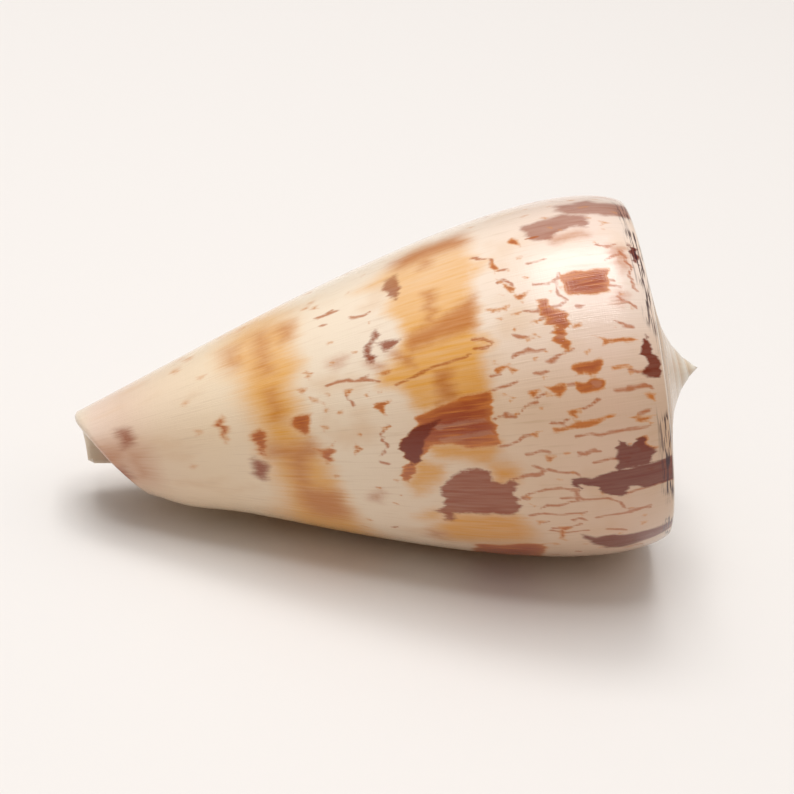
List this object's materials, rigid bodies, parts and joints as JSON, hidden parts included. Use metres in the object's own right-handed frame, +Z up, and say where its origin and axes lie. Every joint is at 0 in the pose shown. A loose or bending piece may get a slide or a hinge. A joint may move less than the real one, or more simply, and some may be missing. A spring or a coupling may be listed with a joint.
{
  "type": "cone shell",
  "caption": "Glossy cone-shaped sea shell with a broad low spire, a narrow base and a long slit-like aperture, cream with orange bands and dark brown blotches.",
  "frame": {"origin": "under the middle of the shell's overall box, on the surface that it lies on", "axes": "+Z up; +X towards the apex; the aperture faces down and a little towards +Y, and the seen side faces -Y"},
  "size_m": [0.0594, 0.0358, 0.0348],
  "materials": {
    "shell": "polished natural shell, cream ground with soft orange bands and sharp brown markings"
  },
  "bodies": {
    "root": {"cone_shell": "shell"}
  },
  "joints": []
}
